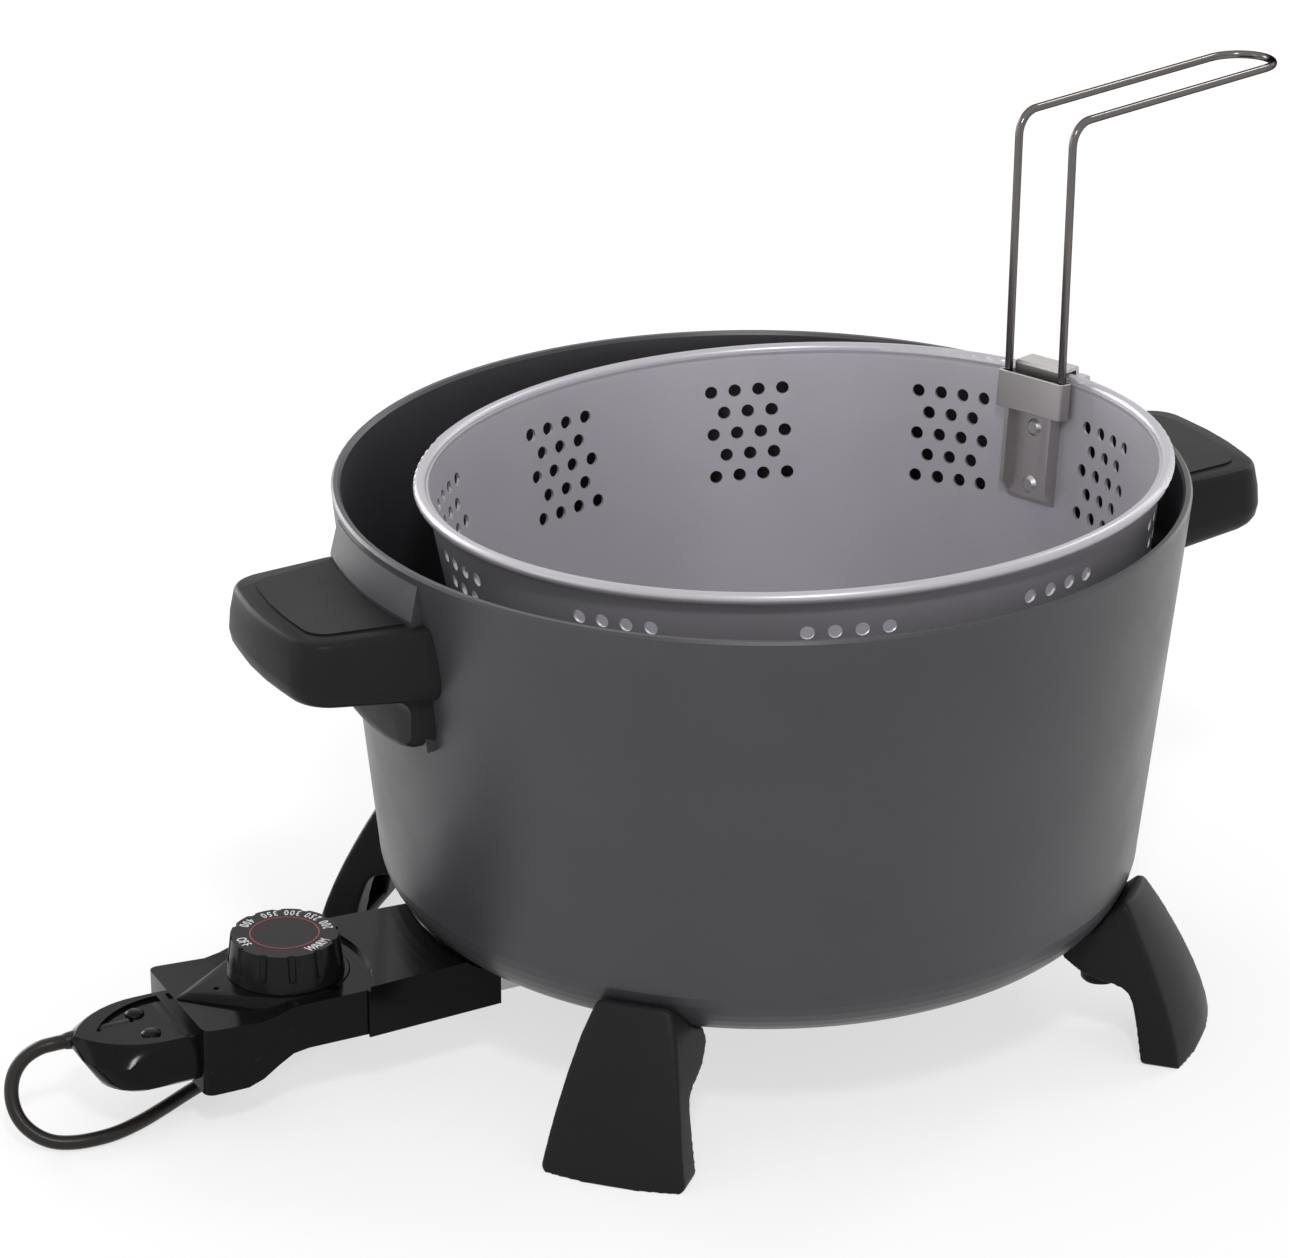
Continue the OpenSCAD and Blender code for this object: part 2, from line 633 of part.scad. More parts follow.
// Wire handle, in its own frame: legs along Z, arms along +X, the legs' feet at z = 0
leg_lean = 5;
wire_foot = [strip_back_r - 3.7, socket_low_z - 0.2];
wire_leg_l = wire_rise - wire_foot[1] - wire_bend_r;
arm_turn = 85.7;                  // angle between leg and arm
module wire_handle() {
    r = wire_d/2;
    b = wire_bend_r;
    bend_wire_r = r + 0.02;       // the bends are a hair thicker, so that the straight runs end inside them
    into = 0.2;
    arm_l = wire_reach - b - wire_rise*sin(leg_lean);
    color(chrome) at_bracket()
        translate([wire_foot[0], 0, wire_foot[1]]) rotate([0, leg_lean, 0]) {
            for (side = [1, -1])
                translate([0, side*wire_gap/2, 0]) {
                    cylinder(r = r, h = wire_leg_l + into);
                    translate([b, 0, wire_leg_l]) {
                        rotate([90, 0, 0]) rotate([0, 0, 180 - arm_turn])
                            rotate_extrude(angle = arm_turn)
                                translate([b, 0]) circle(r = bend_wire_r);
                        rotate([0, arm_turn - 90, 0]) translate([-into, 0, b]) rotate([0, 90, 0])
                            cylinder(r = r, h = arm_l + 2*into);
                    }
                }
            translate([b, 0, wire_leg_l]) rotate([0, arm_turn - 90, 0])
                translate([arm_l, 0, b]) rotate([0, 0, -90])
                    rotate_extrude(angle = 180)
                        translate([wire_gap/2, 0]) circle(r = bend_wire_r);
        }
}

// ---- Heat control ----
// Underside of the housing: an S-curve from the deep end to the pot end
s_curve_x = [knob_x + 4, knob_x + 23];
function s_curve(x) = shallow_z + (deep_z - shallow_z)
    *(1 - cos(180*min(1, max(0, (x - s_curve_x[0])/(s_curve_x[1] - s_curve_x[0])))))/2;
function s_points(from, to, lift, n = 12) =
    [for (i = [0:n]) let (x = from + (to - from)*i/n) [-x, s_curve(x) + lift]];
split_lift = 8;                   // height of the joint between the two housings above the underside
// Top of the housing: a short dip beside the knob, from where it rises a little to the cord end
dip_x = [knob_x + 5, knob_x + 17];
dip_z = body_end_z - 1;
function top_curve(x) = body_top_z + (dip_z - body_top_z)
    *(1 - cos(180*min(1, max(0, (x - dip_x[0])/(dip_x[1] - dip_x[0])))))/2
    + (body_end_z - dip_z)*max(0, (x - dip_x[1])/(body_out_x - dip_x[1]));
function top_points(from, to, drop, n = 12) =
    [for (i = [0:n]) let (x = from + (to - from)*i/n) [-x, top_curve(x) - drop]];

module body_plan(inset = 0) {
    r = 3;
    polygon(concat(
        arc(-body_out_x + r + inset, -body_w/2 + r + inset, r, 270, 180, 4),
        arc(-body_out_x + r + inset, body_w/2 - r - inset, r, 180, 90, 4),
        [[-body_in_x - inset, body_w/2 - inset], [-body_in_x - inset, -body_w/2 + inset]]));
}
module side_cut(points) {
    rotate([90, 0, 0]) linear_extrude(body_w + 10, center = true) polygon(points);
}
dome_top_z = body_top_z + 0.3;
module knob_dome() {
    // raised eyelid round the knob, pointed towards the cord
    hull() {
        translate([-knob_x, 0, dip_z - 0.6]) cylinder(r = 21.5, h = 1, $fn = 48);
        translate([-knob_x, 0, dome_top_z - 0.8]) cylinder(r1 = 20.4, r2 = 19.2, h = 0.8, $fn = 48);
        translate([-body_out_x + 1.4, 0, dip_z - 0.6]) cylinder(r = 0.8, h = 2, $fn = 12);
        translate([-body_out_x + 6, 0, dip_z]) cylinder(r = 1.5, h = 2.4, $fn = 12);
    }
}
module screw_pillars() {
    for (p = screw_places)
        translate([p[0], p[1], s_curve(-p[0]) + shell_t + free_gap])
            cylinder(r = screw_r + 1.3, h = top_curve(-p[0]) - shell_t/2 - s_curve(-p[0]) - shell_t - free_gap);
}
shaft_r = 3;
module control_upper() {
    color(gloss_black) difference() {
        union() {
            intersection() {
                linear_extrude(60) body_plan();
                side_cut(concat(s_points(body_in_x - 1, body_out_x + 1, split_lift),
                    top_points(body_out_x + 1, body_in_x - 1, 0)));
            }
            intersection() {
                knob_dome();
                linear_extrude(60) body_plan();
            }
        }
        // inside, around the pillars that the screws go into
        difference() {
            intersection() {
                linear_extrude(60) body_plan(shell_t);
                side_cut(concat(s_points(body_in_x - 1, body_out_x + 1, split_lift - 1),
                    top_points(body_out_x + 1, body_in_x - 1, shell_t)));
            }
            screw_pillars();
        }
        for (p = screw_places)
            translate([p[0], p[1], 10]) cylinder(r = screw_r, h = s_curve(-p[0]) + screw_len);
        translate([-knob_x, 0, 20]) cylinder(r = shaft_r + run_fit, h = 40);
        // small sight hole on the dome
        translate([-body_out_x + 12.5, -2, 30]) cylinder(r = 0.9, h = 20, $fn = 16);
        // way in for the probe and the terminals
        for (y = [0, pin_gap/2, -pin_gap/2])
            translate([-body_in_x - 4, y, probe_z]) rotate([0, 90, 0]) cylinder(r = 4.4, h = 8);
    }
}
module control_lower() {
    color(gloss_black) difference() {
        intersection() {
            linear_extrude(60) body_plan();
            side_cut(concat(s_points(body_in_x - 1, body_out_x + 1, 0),
                [for (i = [12:-1:0]) let (x = body_in_x - 1 + (body_out_x - body_in_x + 2)*i/12)
                    [-x, s_curve(x) + split_lift]]));
        }
        intersection() {
            linear_extrude(60) body_plan(shell_t);
            side_cut(concat(s_points(body_in_x - 1, body_out_x + 1, shell_t),
                [for (i = [12:-1:0]) let (x = body_in_x - 1 + (body_out_x - body_in_x + 2)*i/12)
                    [-x, s_curve(x) + split_lift + 1]]));
        }
        for (y = [0, pin_gap/2, -pin_gap/2])
            translate([-body_in_x - 4, y, probe_z]) rotate([0, 90, 0]) cylinder(r = 4.4, h = 8);
        for (p = screw_places)
            translate([p[0], p[1], 0]) {
                cylinder(r = screw_r, h = 40);
                cylinder(r = 3.8, h = s_curve(-p[0]) + screw_sink);
            }
    }
}
screw_places = [[-body_out_x + 8, 15], [-body_out_x + 8, -15], [-body_in_x - 13, 17], [-body_in_x - 13, -17]];
screw_len = 10;
screw_sink = 1.2;                 // depth of the recess for a housing screw's head
module housing_screws() {
    color(steel) for (p = screw_places)
        translate([p[0], p[1], s_curve(-p[0]) + screw_sink - screw_head_h]) pan_screw(screw_len, head_r = 3.4);
}

// Shroud: open towards the pot, its outer end cut round the knob, its inner end cut to the pot's corner
shroud_low_z = 22.4;
shroud_taper = 2.6;               // how much narrower each side is at the pot
collar_r = 47;                    // radius of the shroud's raised edge towards the knob
collar_x = body_in_x - 3.5;       // where that edge comes nearest to the pot
module shroud_plan(inset = 0, end_inset = 0) {
    w = shroud_w/2 - inset;
    polygon([[-body_in_x - 4, -w], [-body_in_x - 4, w],
        [-shroud_in_x + end_inset, w - shroud_taper], [-shroud_in_x + end_inset, -w + shroud_taper]]);
}
module probe_shroud() {
    color(gloss_black) difference() {
        translate([0, 0, shroud_low_z]) linear_extrude(shroud_top_z - shroud_low_z) shroud_plan();
        // socket that the pot's terminals go into, open towards the pot
        intersection() {
            translate([0, 0, shroud_low_z + shell_t])
                linear_extrude(shroud_top_z - shroud_low_z - 2*shell_t) shroud_plan(shell_t, 10);
            translate([-body_in_x + shell_t, -shroud_w/2, 0]) cube([80, shroud_w, 60]);
        }
        // the housing's inner end sits in the back
        translate([-body_in_x - 20, -body_w/2 - seat_gap, 0])
            cube([20, body_w + 2*seat_gap, body_top_z + 0.1]);
        // the raised edge is hollowed towards the knob
        translate([-collar_x - collar_r, 0, body_top_z]) cylinder(r = collar_r, h = 20, $fn = 96);
        pot_outside(1);
        for (y = [0, pin_gap/2, -pin_gap/2])
            translate([-body_in_x - 1, y, probe_z]) rotate([0, 90, 0])
                cylinder(d = y == 0 ? probe_d : terminal_d, h = 8);
    }
}

// Cord cover: blunt below, drawn to a pointed nose at the top, with a recessed top panel
tail_low_z = 17.2;
nose_len = 26;                    // length of the pointed stretch
// Pointed outline made of two arcs, from a root at x to the tip
module pointed_plan(root_x, w, start_x, tip_x) {
    length = tip_x - start_x;
    r = (length*length + w*w)/(2*w);
    polygon(both_sides(concat([[-root_x, w]],
        [for (f = [0:0.125:0.99]) [-start_x - length*f, sqrt(r*r - pow(length*f, 2)) - r + w]],
        [[-tip_x, 0.1]])));
}
// Blunt outline with rounded corners
module blunt_plan(w, tip_x, r) {
    polygon(both_sides(concat([[-body_out_x, w]], arc(-tip_x + r, w - r, r, 90, 170, 6))));
}
module tail_layer(z) { translate([0, 0, z]) linear_extrude(eps) children(); }
module tail_form() {
    top_w = tail_w/2 - 3;
    hull() {
        tail_layer(tail_low_z) blunt_plan(tail_w/2 - 2, tail_out_x - 8, 10);
        tail_layer(tail_low_z + 1.4) blunt_plan(tail_w/2 - 0.3, tail_out_x - 5.8, 11.5);
        tail_layer(tail_low_z + 4) blunt_plan(tail_w/2, tail_out_x - 4, 12);
        tail_layer(tail_top_z - 5.4) blunt_plan(tail_w/2 - 0.4, tail_out_x - 0.8, 14.4);
        tail_layer(tail_top_z - 3.4)
            pointed_plan(body_out_x, tail_w/2 - 0.8, tail_out_x - nose_len + 6, tail_out_x);
        tail_layer(tail_top_z - 1.2)
            pointed_plan(body_out_x, tail_w/2 - 2, tail_out_x - nose_len + 2, tail_out_x);
        tail_layer(tail_top_z - eps) pointed_plan(body_out_x, top_w, tail_out_x - nose_len, tail_out_x - 0.9);
    }
}
cover_rivet_places = [[-body_out_x - 10.7, 7], [-body_out_x - 10.7, -7]];
panel_depth = 1.1;
module cord_cover() {
    color(gloss_black) difference() {
        tail_form();
        // recessed panel, pointed like the nose
        translate([0, 0, tail_top_z - panel_depth]) linear_extrude(3)
            pointed_plan(body_out_x + 1.2, tail_w/2 - 5, tail_out_x - nose_len - 6, tail_out_x - 8);
        translate([-tail_out_x - 5, relief_y, relief_z]) rotate([0, 90, 0])
            cylinder(r = relief_r + run_fit, h = relief_in + 6);
        translate([-body_out_x - 9.5, -tail_w/2 + 3, tail_low_z + 2])
            cube([30, tail_w - 6, tail_top_z - tail_low_z - 5.4]);
        for (p = cover_rivet_places) translate([p[0], p[1], tail_top_z - 6]) cylinder(r = 1.4, h = 10);
    }
}
module cover_rivets() {
    color(gloss_black) for (p = cover_rivet_places)
        translate([p[0], p[1], tail_top_z - panel_depth]) {
            translate([0, 0, -2.5]) cylinder(r = 1.4, h = 2.6);
            cylinder(r1 = 3.1, r2 = 2.9, h = 0.6);
            translate([0, 0, 0.6]) cylinder(r1 = 2.9, r2 = 1.6, h = 0.6);
        }
}

// Knob: slightly tapered, with narrow flutes, on a bored boss
knob_low_z = dome_top_z + free_gap;
knob_flare = 1.5;                 // how much wider the knob's foot is, on the radius
flute_r = 1.7;
knob_hold = 8;                    // how far the shaft goes into the knob
module knob() {
    color(gloss_black) difference() {
        translate([-knob_x, 0, knob_low_z])
            cylinder(r1 = knob_d/2 + knob_flare, r2 = knob_d/2, h = knob_h, $fn = 96);
        for (i = [0:flute_n - 1])
            translate([-knob_x, 0, knob_low_z]) rotate([0, 0, (i + 0.5)*360/flute_n])
                translate([knob_d/2 + 1.5, 0, 0.3*knob_h]) rotate([0, -5, 0])
                    cylinder(r1 = flute_r*0.75, r2 = flute_r, h = knob_h, $fn = 16);
        translate([-knob_x, 0, knob_low_z - 1]) cylinder(r = shaft_r, h = knob_hold + 1);
    }
}
module knob_shaft() {
    color(steel) translate([-knob_x, 0, thermo_top_z + free_gap]) {
        cylinder(r = shaft_r, h = knob_low_z + knob_hold - thermo_top_z - free_gap);
        cylinder(r = 5, h = 1.5);
    }
}

thermo_low_z = 25.2;
thermo_top_z = 32.4;
module thermostat_frame() {
    color(steel) difference() {
        translate([-body_out_x + 14, -12.5, thermo_low_z])
            cube([body_out_x - 14 - body_in_x - 8, 25, thermo_top_z - thermo_low_z]);
        translate([-body_out_x + 17, -10.5, thermo_low_z + 1.6])
            cube([body_out_x - 17 - body_in_x - 11, 26, thermo_top_z - thermo_low_z - 3.2]);
        translate([-body_in_x - 14, 0, probe_z]) rotate([0, 90, 0]) cylinder(d = probe_d, h = 10);
    }
}
module probe() {
    length = body_in_x + 9 - well_end_x - 1.5;
    color(steel) translate([-body_in_x - 9, 0, probe_z]) rotate([0, 90, 0]) {
        cylinder(d = probe_d, h = length - 2);
        translate([0, 0, length - 2]) cylinder(d1 = probe_d, d2 = probe_d - 2.4, h = 2);
    }
}
terminal_d = 6.8;
terminal_back = 6;                // how far the female terminals stand in the housing
terminal_root = 14;               // their solid length, behind the bores
module female_terminals() {
    length = body_in_x + terminal_back - guard_out_x + 6;
    color(brass) for (side = [1, -1])
        translate([-body_in_x - terminal_back, side*pin_gap/2, probe_z]) rotate([0, 90, 0]) difference() {
            cylinder(d = terminal_d, h = length);
            translate([0, 0, terminal_root]) cylinder(d = pin_d + 2*run_fit, h = length);
        }
}

// ---- Cord ----
relief_y = 4;
relief_z = 28.2;
relief_r = 2.7;
relief_in = 20;                   // length of the strain relief inside the cover
relief_out = 1;                   // and outside it
module strain_relief() {
    color(lead_black) translate([-tail_out_x + relief_in, relief_y, relief_z]) rotate([0, -90, 0]) {
        cylinder(r = relief_r, h = relief_in - 1);
        translate([0, 0, relief_in - 1]) cylinder(r1 = relief_r, r2 = cord_d/2 + 0.2, h = relief_out + 1);
    }
}

cord_r = cord_d/2;
low = cord_r + 0.1;               // height of the cord's middle where it lies on the floor
// Middle line of the cord, from the strain relief to the coil
cord_route = [
    [-232.5, 4, 28.2], [-236, 4, 28.2], [-240, 4.8, 27.4], [-244.5, 5.3, 25], [-248, 4.7, 21.4],
    [-250, 3, 17], [-250.5, 0.3, 12.4], [-249.3, -3, 8.3], [-246.2, -6.3, 5], [-242, -9, 3], [-236.5, -11, low],
    [-230, -12, low], [-222.5, -11.3, low], [-213.5, -8, low], [-204, -3, low], [-194.5, 2.5, low],
    [-185, 7.5, low], [-175, 12, low], [-165, 15.5, low], [-155, 18.5, low], [-145.5, 22.3, low],
    [-139, 25.5, low]];
function tube_dir(i, pts) =
    let (a = pts[max(0, i - 1)], b = pts[min(len(pts) - 1, i + 1)], d = b - a) d/norm(d);
function unit(v) = v/norm(v);
tube_sides = 8;
function tube_ring(p, d, r) = let (s = unit(cross(d, [0.02, 0.03, 1])), u = cross(s, d))
    [for (k = [0:tube_sides - 1]) p + r*cos(360*k/tube_sides)*s + r*sin(360*k/tube_sides)*u];
module tube(pts, r) {
    n = len(pts);
    rings = [for (i = [0:n - 1]) tube_ring(pts[i], tube_dir(i, pts), r)];
    points = [for (ring = rings, p = ring) p];
    sides = [for (i = [0:n - 2], k = [0:tube_sides - 1])
        let (a = i*tube_sides + k, b = i*tube_sides + (k + 1) % tube_sides)
            [a, b, b + tube_sides, a + tube_sides]];
    first = [for (k = [tube_sides - 1:-1:0]) k];
    last = [for (k = [0:tube_sides - 1]) (n - 1)*tube_sides + k];
    polyhedron(points, concat(sides, [first, last]), convexity = 4);
}
module cord() { color(lead_black) tube(cord_route, cord_r); }

coil_at = [-140, 54];
coil_in_r = coil_d/2 - coil_rows*cord_r;
coil_out_r = coil_d/2 + coil_rows*cord_r;
coil_h = coil_layers*cord_d + 0.2;
coil_leave = -63;                 // where the cord leaves the coil's outer turn, on its way to the plug
module cord_coil() {
    color(lead_black) translate([coil_at[0], coil_at[1], 0]) rotate_extrude($fn = 64)
        translate([coil_in_r, 0]) polygon([[1, 0], [coil_out_r - coil_in_r - 1, 0], [coil_out_r - coil_in_r, 1],
            [coil_out_r - coil_in_r, coil_h - 1], [coil_out_r - coil_in_r - 1, coil_h], [1, coil_h],
            [0, coil_h - 1], [0, 1]]);
}
// Tie: a flat band round the coil's turns
tie_angle = 40;
module coil_tie() {
    t = 0.8;
    gap = 0.3;
    color(lead_black) translate([coil_at[0], coil_at[1], 0]) rotate([0, 0, tie_angle])
        difference() {
            translate([coil_in_r - gap - t, -2.5, 0])
                cube([coil_out_r - coil_in_r + 2*gap + 2*t, 5, coil_h + gap + t]);
            translate([coil_in_r - gap, -4, -1]) cube([coil_out_r - coil_in_r + 2*gap, 8, coil_h + gap + 1]);
        }
}

// Plug: flat on the floor beside the coil, blades towards the pot's axis
plug_turn = coil_leave + 90;
plug_tail = 17;                   // length of the plug's own tapered relief
plug_at = coil_at + (coil_out_r - cord_r)*[cos(coil_leave), sin(coil_leave)]
    + (plug_tail + 4)*[cos(plug_turn), sin(plug_turn)];
plug_h = 15;
module at_plug() {
    translate([plug_at[0], plug_at[1], 0]) rotate([0, 0, plug_turn]) children();
}
module plug_body() {
    color(lead_black) at_plug() {
        intersection() {
            linear_extrude(plug_h) polygon(both_sides([[-4, 4], [2, 9.5], [6, 11], [19, 11], [20, 10]]));
            translate([0, 0, plug_h/2]) rotate([90, 0, 0]) linear_extrude(40, center = true)
                polygon(both_sides([[-4, 4], [4, 6.4], [7, plug_h/2], [19, plug_h/2], [20, plug_h/2 - 1]]));
        }
        translate([-plug_tail, 0, plug_h/2]) rotate([0, 90, 0])
            cylinder(r1 = cord_r + 0.4, r2 = 3.8, h = plug_tail - 3);
    }
}
module plug_blades() {
    color(brass) at_plug() for (side = [1, -1])
        translate([20, side*6.35 - 0.75, plug_h/2 - 3.2]) difference() {
            cube([15.5, 1.5, 6.4]);
            translate([12, -1, 3.2]) rotate([-90, 0, 0]) cylinder(d = 3.1, h = 4, $fn = 24);
        }
}

pot();
heating_element();
probe_socket();
terminal_guard();
terminal_pins();
foot_1();
foot_2();
foot_3();
foot_4();
foot_screws();
handle_left();
handle_right();
handle_screws();
basket();
basket_bracket();
handle_socket();
bracket_rivets();
wire_handle();
control_upper();
control_lower();
probe_shroud();
cord_cover();
cover_rivets();
knob();
knob_shaft();
thermostat_frame();
probe();
female_terminals();
housing_screws();
strain_relief();
cord();
cord_coil();
coil_tie();
plug_body();
plug_blades();
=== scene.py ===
import json
import math

import bmesh
import bpy
from mathutils import Matrix, Vector

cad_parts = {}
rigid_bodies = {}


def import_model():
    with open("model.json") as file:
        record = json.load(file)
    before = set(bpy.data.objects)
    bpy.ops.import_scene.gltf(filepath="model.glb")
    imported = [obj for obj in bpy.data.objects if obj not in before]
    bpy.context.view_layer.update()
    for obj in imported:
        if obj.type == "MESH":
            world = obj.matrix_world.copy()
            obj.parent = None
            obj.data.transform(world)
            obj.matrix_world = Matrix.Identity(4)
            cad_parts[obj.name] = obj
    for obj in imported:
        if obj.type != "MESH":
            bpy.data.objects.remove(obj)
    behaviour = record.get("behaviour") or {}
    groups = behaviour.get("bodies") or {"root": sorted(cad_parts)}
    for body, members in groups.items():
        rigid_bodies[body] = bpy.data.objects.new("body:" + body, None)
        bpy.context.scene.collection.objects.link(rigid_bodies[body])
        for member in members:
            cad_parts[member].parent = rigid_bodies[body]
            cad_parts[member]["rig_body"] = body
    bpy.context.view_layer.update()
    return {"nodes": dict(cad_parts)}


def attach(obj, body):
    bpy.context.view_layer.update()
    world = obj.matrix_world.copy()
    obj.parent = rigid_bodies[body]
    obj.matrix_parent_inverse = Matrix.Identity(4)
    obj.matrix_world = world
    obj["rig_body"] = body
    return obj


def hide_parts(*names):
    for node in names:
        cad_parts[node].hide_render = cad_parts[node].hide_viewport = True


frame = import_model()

MM = 0.001
NODES = frame["nodes"]


# ---- Camera ----
IMAGE_W = 1290
FOCAL_PX = 4717.6
SENSOR = 36.0
CAMERA_AT = Vector((-0.6346, -1.1936, 0.6985))
LOOK_AT = Vector((-0.0319, 0.0159, 0.1199))
NEAREST, FARTHEST = 0.01, 100


def aim(o, at, to):
    """Puts a camera or light at one point and turns it to another."""
    o.location = at
    o.rotation_euler = (Vector(to) - Vector(at)).to_track_quat("-Z", "Y").to_euler()


camera_data = bpy.data.cameras.new("camera")
camera = bpy.data.objects.new("camera", camera_data)
bpy.context.scene.collection.objects.link(camera)
camera_data.sensor_width = SENSOR
camera_data.lens = FOCAL_PX * SENSOR / IMAGE_W
camera_data.clip_start = NEAREST
camera_data.clip_end = FARTHEST
aim(camera, CAMERA_AT, LOOK_AT)
bpy.context.scene.camera = camera
bpy.context.scene.view_settings.view_transform = "Standard"


# ---- Shader building blocks ----
def link(tree, a, b):
    tree.links.new(a, b)


def feed(tree, socket, value):
    """Sets a socket to a number, or links it to another node's output."""
    if isinstance(value, (int, float)):
        socket.default_value = value
    else:
        link(tree, value, socket)


def group(name, inputs, outputs, build):
    """A shader node group with named sockets; build wires its inside."""
    g = bpy.data.node_groups.new(name, "ShaderNodeTree")
    for label, kind, value in inputs:
        s = g.interface.new_socket(label, in_out="INPUT", socket_type=kind)
        s.default_value = value
    for label, kind in outputs:
        g.interface.new_socket(label, in_out="OUTPUT", socket_type=kind)
    build(g, g.nodes.new("NodeGroupInput").outputs, g.nodes.new("NodeGroupOutput").inputs)
    return g


def maths(tree, operation, a, b):
    n = tree.nodes.new("ShaderNodeMath")
    n.operation = operation
    feed(tree, n.inputs[0], a)
    feed(tree, n.inputs[1], b)
    return n.outputs[0]


def weighted(tree, a, share_a, b, share_b):
    return maths(tree, "ADD", maths(tree, "MULTIPLY", a, share_a), maths(tree, "MULTIPLY", b, share_b))


def spread(tree, value, low, high, to_low=0.0, to_high=1.0):
    n = tree.nodes.new("ShaderNodeMapRange")
    link(tree, value, n.inputs["Value"])
    for label, v in (("From Min", low), ("From Max", high), ("To Min", to_low), ("To Max", to_high)):
        feed(tree, n.inputs[label], v)
    return n.outputs["Result"]


def noise(tree, vector, scale, detail=3.0, rough=0.55):
    n = tree.nodes.new("ShaderNodeTexNoise")
    link(tree, vector, n.inputs["Vector"])
    feed(tree, n.inputs["Scale"], scale)
    n.inputs["Detail"].default_value = detail
    n.inputs["Roughness"].default_value = rough
    return n.outputs["Fac"]


def place(tree):
    return tree.nodes.new("ShaderNodeTexCoord").outputs["Object"]


# Fine grain: two noises, the coarse one at a share of the fine one's scale
COARSE_SCALE = 0.31
FINE_SHARE, COARSE_SHARE = 0.65, 0.35

# Worn edges with a painted sheen: how fast the wear and the painted highlight set in with the edge's sharpness,
# and the noise that breaks them up
WEAR_AND_SHEEN_START = 0.53
WEAR_AND_SHEEN_SPAN = 0.06
WEAR_AND_SHEEN_NOISE = 420.0

# The plane through the middle of the basket's rolled rim, and the band under it where the rim begins; above it
# the rim gets a painted highlight, a lighter colour
RIM_AT = (0.0104, -0.0011, 0.1735)
RIM_UP = (-0.02706, 0.04882, 0.99844)
RIM_FROM, RIM_FULL = 0.0026, 0.0018

# Dust: specks and a thin film, on faces that look up
SPECK_NOISE, FILM_NOISE = 900.0, 35.0
SPECK_SHARE, FILM_SHARE = 0.6, 0.4


def build_fine_grain(g, i, o):
    at = place(g)
    fine = noise(g, at, i["Scale"], 2.0)
    coarse = noise(g, at, maths(g, "MULTIPLY", i["Scale"], COARSE_SCALE), 3.0)
    mix = weighted(g, fine, FINE_SHARE, coarse, COARSE_SHARE)
    link(g, maths(g, "MULTIPLY", mix, i["Height"]), o["Height"])
    link(g, spread(g, mix, 0.3, 0.7), o["Mask"])


def build_cloudy(g, i, o):
    cloud = noise(g, place(g), i["Scale"], 4.0, 0.6)
    link(g, spread(g, cloud, 0.32, 0.68, i["Low"], i["High"]), o["Value"])


# edge mask for wear and a painted highlight: sharp edges get a lighter colour
def build_edge_wear_and_sheen(g, i, o):
    point = g.nodes.new("ShaderNodeNewGeometry").outputs["Pointiness"]
    worn_and_sheen = spread(g, point, i["Start"], maths(g, "ADD", i["Start"], WEAR_AND_SHEEN_SPAN))
    broken = spread(g, noise(g, place(g), WEAR_AND_SHEEN_NOISE), 0.35, 0.6)
    link(g, maths(g, "MULTIPLY", maths(g, "MULTIPLY", worn_and_sheen, broken), i["Amount"]), o["Mask"])


def build_tint(g, i, o):
    mix = g.nodes.new("ShaderNodeMix")
    mix.data_type = "RGBA"
    link(g, i["Mask"], mix.inputs[0])
    link(g, i["Color"], mix.inputs[6])
    link(g, i["Marked"], mix.inputs[7])
    link(g, mix.outputs[2], o["Color"])


def build_brushed(g, i, o):
    stretch = g.nodes.new("ShaderNodeVectorMath")
    stretch.operation = "MULTIPLY"
    link(g, place(g), stretch.inputs[0])
    link(g, i["Stretch"], stretch.inputs[1])
    lines = noise(g, stretch.outputs[0], 1.0, 3.0, 0.7)
    link(g, maths(g, "MULTIPLY", lines, i["Height"]), o["Height"])
    link(g, spread(g, lines, 0.35, 0.65), o["Mask"])


def build_rim_highlight(g, i, o):
    """Marks the rolled rim of the hung basket, which lies above a tilted plane, for the rim's painted
    highlight.
    """
    height = g.nodes.new("ShaderNodeVectorMath")
    height.operation = "DOT_PRODUCT"
    link(g, place(g), height.inputs[0])
    height.inputs[1].default_value = RIM_UP
    middle = sum(a * b for a, b in zip(RIM_UP, RIM_AT))
    link(g, spread(g, height.outputs["Value"], middle - RIM_FROM, middle - RIM_FULL), o["Mask"])


def build_dust(g, i, o):
    up = g.nodes.new("ShaderNodeSeparateXYZ")
    link(g, g.nodes.new("ShaderNodeNewGeometry").outputs["Normal"], up.inputs[0])
    facing = spread(g, up.outputs["Z"], 0.2, 1.0)
    specks = spread(g, noise(g, place(g), SPECK_NOISE, 2.0), 0.62, 0.72)
    film = spread(g, noise(g, place(g), FILM_NOISE, 4.0), 0.35, 0.75)
    both = weighted(g, specks, SPECK_SHARE, film, FILM_SHARE)
    link(g, maths(g, "MULTIPLY", maths(g, "MULTIPLY", both, facing), i["Amount"]), o["Mask"])


FLOAT, COLOR, VECTOR = "NodeSocketFloat", "NodeSocketColor", "NodeSocketVector"
GRAIN = group("fine_grain", [("Scale", FLOAT, 900.0), ("Height", FLOAT, 1.0)],
              [("Height", FLOAT), ("Mask", FLOAT)], build_fine_grain)
CLOUDY = group("cloudy_value", [("Scale", FLOAT, 12.0), ("Low", FLOAT, 0.4), ("High", FLOAT, 0.5)],
               [("Value", FLOAT)], build_cloudy)
EDGE_WEAR_AND_SHEEN = group("edge_wear_and_sheen", [("Start", FLOAT, WEAR_AND_SHEEN_START), ("Amount", FLOAT, 0.4)],
                  [("Mask", FLOAT)], build_edge_wear_and_sheen)
TINT = group("tint", [("Mask", FLOAT, 0.0), ("Color", COLOR, (0, 0, 0, 1)), ("Marked", COLOR, (1, 1, 1, 1))],
             [("Color", COLOR)], build_tint)
BRUSHED = group("brushed_lines", [("Stretch", VECTOR, (40.0, 40.0, 1500.0)), ("Height", FLOAT, 1.0)],
                [("Height", FLOAT), ("Mask", FLOAT)], build_brushed)
RIM_HIGHLIGHT = group("painted_rim_highlight", [], [("Mask", FLOAT)], build_rim_highlight)
DUST = group("light_dust", [("Amount", FLOAT, 0.2)], [("Mask", FLOAT)], build_dust)


